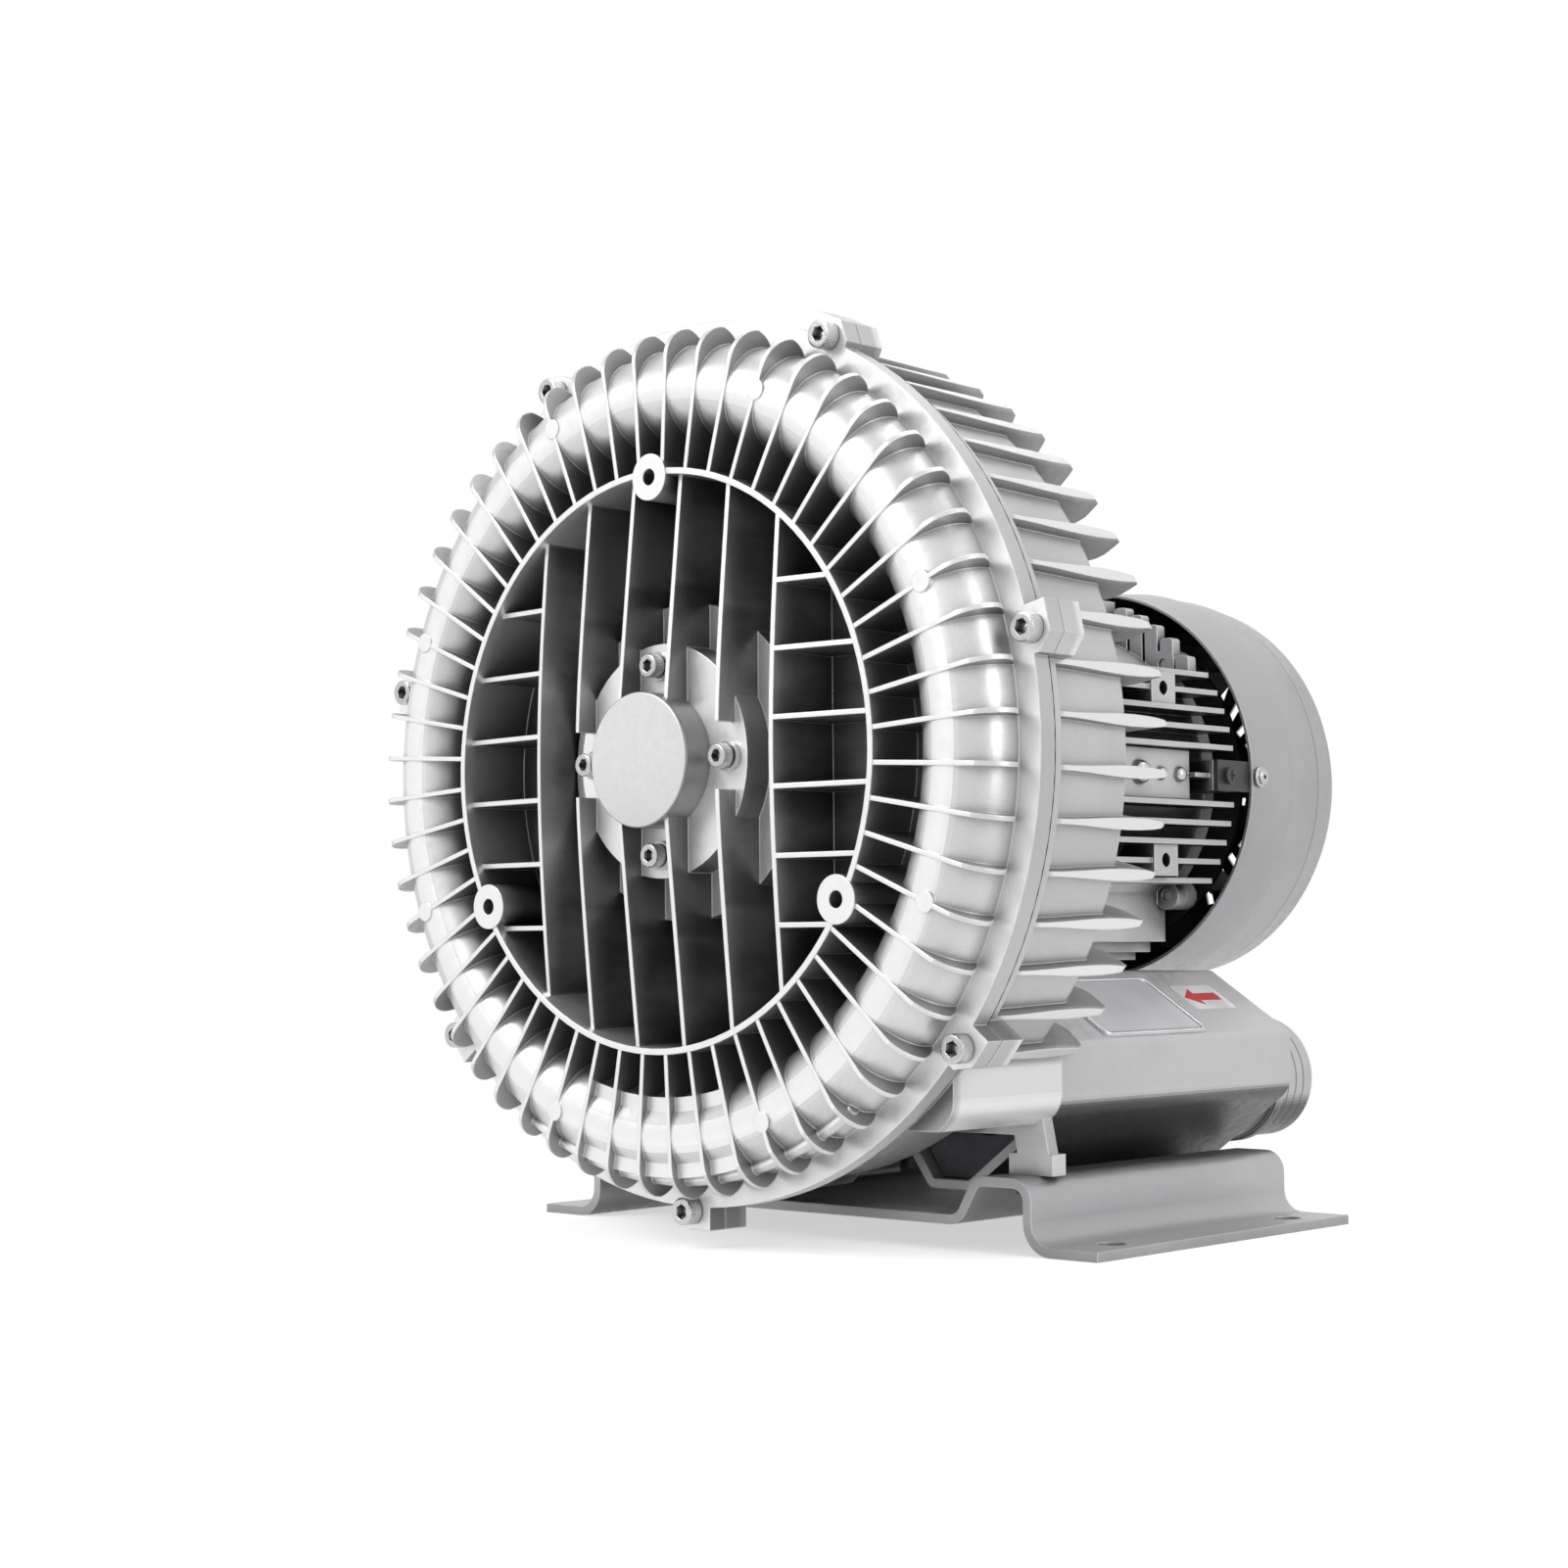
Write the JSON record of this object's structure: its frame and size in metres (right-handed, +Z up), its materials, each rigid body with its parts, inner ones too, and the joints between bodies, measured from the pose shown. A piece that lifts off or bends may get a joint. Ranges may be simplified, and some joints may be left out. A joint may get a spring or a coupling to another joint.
{
  "type": "side channel blower",
  "caption": "Single-stage side channel blower: finned cast pump with a ribbed cover, finned motor with fan cowl, two silencers with hose ports and a bent foot plate.",
  "frame": {"origin": "centre of the four foot holes, on the floor plane under the foot plate", "axes": "+Z up, +Y along the shaft from the pump cover to the motor's fan cowl, +X to the inlet side"},
  "size_m": [0.3713, 0.3857, 0.3766],
  "materials": {
    "silver_cast": "silver-painted pressure-cast aluminium, satin, with lightly polished rib edges",
    "bright_cap": "machined aluminium, fine satin",
    "zinc_screws": "zinc-plated steel",
    "bearing_steel": "ground steel",
    "black_plastic": "matt black nylon",
    "black_rubber": "matt black rubber",
    "machined_aluminium": "as machined",
    "core_steel": "bare laminated electrical steel",
    "copper_winding": "enamelled copper wire, varnished",
    "motor_cast": "silver-painted cast aluminium",
    "cowl_paint": "satin grey paint on sheet steel, black inside",
    "dark_steel": "black-painted sheet steel",
    "silencer_cast": "silver-grey painted cast aluminium",
    "grey_foam": "open-cell sound absorbing foam",
    "foot_paint": "silver-painted bent steel sheet, satin",
    "label_silver": "bare silver plate with a fine border",
    "arrow_red": "red film sticker"
  },
  "bodies": {
    "root": {"front_cover": "silver_cast", "pump_housing": "silver_cast", "bearing_cap": "bright_cap", "cover_screws": "zinc_screws", "hub_screws": "zinc_screws", "hub_washers": "zinc_screws", "motor_screws": "zinc_screws", "shield_screws": "zinc_screws", "cowl_screws": "zinc_screws", "bracket_screws": "zinc_screws", "lid_screws": "zinc_screws", "box_foot_screws": "zinc_screws", "port_screws": "zinc_screws", "silencer_screws": "zinc_screws", "foot_bolts": "zinc_screws", "pad_rivets": "zinc_screws", "front_bearing_outer_ring": "bearing_steel", "rear_bearing_outer_ring": "bearing_steel", "wave_spring": "bearing_steel", "terminal_block": "black_plastic", "cable_gland": "black_plastic", "front_shaft_seal": "black_rubber", "rear_shaft_seal": "black_rubber", "cover_gasket": "black_rubber", "terminal_gasket": "black_rubber", "bearing_retainer": "machined_aluminium", "stator_core": "core_steel", "stator_windings": "copper_winding", "motor_frame": "motor_cast", "rear_end_shield": "motor_cast", "fan_cowl": "cowl_paint", "cowl_brackets": "dark_steel", "terminal_box": "cowl_paint", "terminal_lid": "cowl_paint", "inlet_silencer": "silencer_cast", "outlet_silencer": "silencer_cast", "inlet_port": "silencer_cast", "outlet_port": "silencer_cast", "inlet_foam": "grey_foam", "outlet_foam": "grey_foam", "foot_plate": "foot_paint", "label_plate": "label_silver", "inlet_arrow": "arrow_red", "outlet_arrow": "arrow_red"},
    "rotor": {"shaft": "bearing_steel", "shaft_nut": "bearing_steel", "lock_washer": "bearing_steel", "spacer_sleeve": "bearing_steel", "impeller": "machined_aluminium", "impeller_key": "bearing_steel", "rotor_core": "core_steel", "cooling_fan": "black_plastic", "fan_clip": "bearing_steel", "front_bearing_inner_ring": "bearing_steel", "rear_bearing_inner_ring": "bearing_steel"},
    "front_ball_set": {"front_bearing_balls": "bearing_steel", "front_bearing_cage": "black_plastic"},
    "rear_ball_set": {"rear_bearing_balls": "bearing_steel", "rear_bearing_cage": "black_plastic"}
  },
  "joints": [
    {"name": "rotor_spin", "type": "hinge", "parent": "root", "child": "rotor", "pos_m": [0, 0, 0.1966], "axis": [0, 1, 0], "continuous": true},
    {"name": "front_balls_spin", "type": "hinge", "parent": "root", "child": "front_ball_set", "pos_m": [0, 0, 0.1966], "axis": [0, 1, 0], "continuous": true},
    {"name": "rear_balls_spin", "type": "hinge", "parent": "root", "child": "rear_ball_set", "pos_m": [0, 0, 0.1966], "axis": [0, 1, 0], "continuous": true}
  ],
  "couplings": [
    {"joint": "front_balls_spin", "follows": "rotor_spin", "ratio": 0.3969},
    {"joint": "rear_balls_spin", "follows": "rotor_spin", "ratio": 0.3969}
  ]
}
